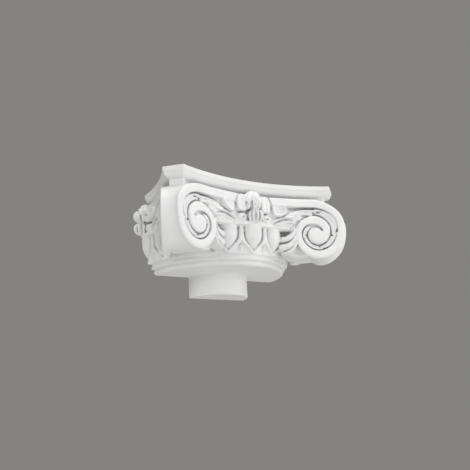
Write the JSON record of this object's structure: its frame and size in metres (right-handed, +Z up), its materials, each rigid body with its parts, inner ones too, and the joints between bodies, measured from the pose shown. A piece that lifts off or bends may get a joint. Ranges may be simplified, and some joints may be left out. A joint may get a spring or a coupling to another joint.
{
  "type": "ionic half capital",
  "caption": "Moulded half Ionic capital with corner volutes, egg and dart, leaf carving and a hollow-sided abacus, flat at the back to sit on a wall above a half column",
  "frame": {"origin": "on the flat back, on the column's axis, level with the seat under the neck ring that rests on the shaft", "axes": "+X along the wall to the right as seen from the front, +Y into the wall, +Z up"},
  "size_m": [0.3766, 0.1883, 0.189],
  "materials": {
    "white_primer": "matt white primer over a fine moulded skin"
  },
  "bodies": {
    "root": {"half_capital": "white_primer"}
  },
  "joints": []
}
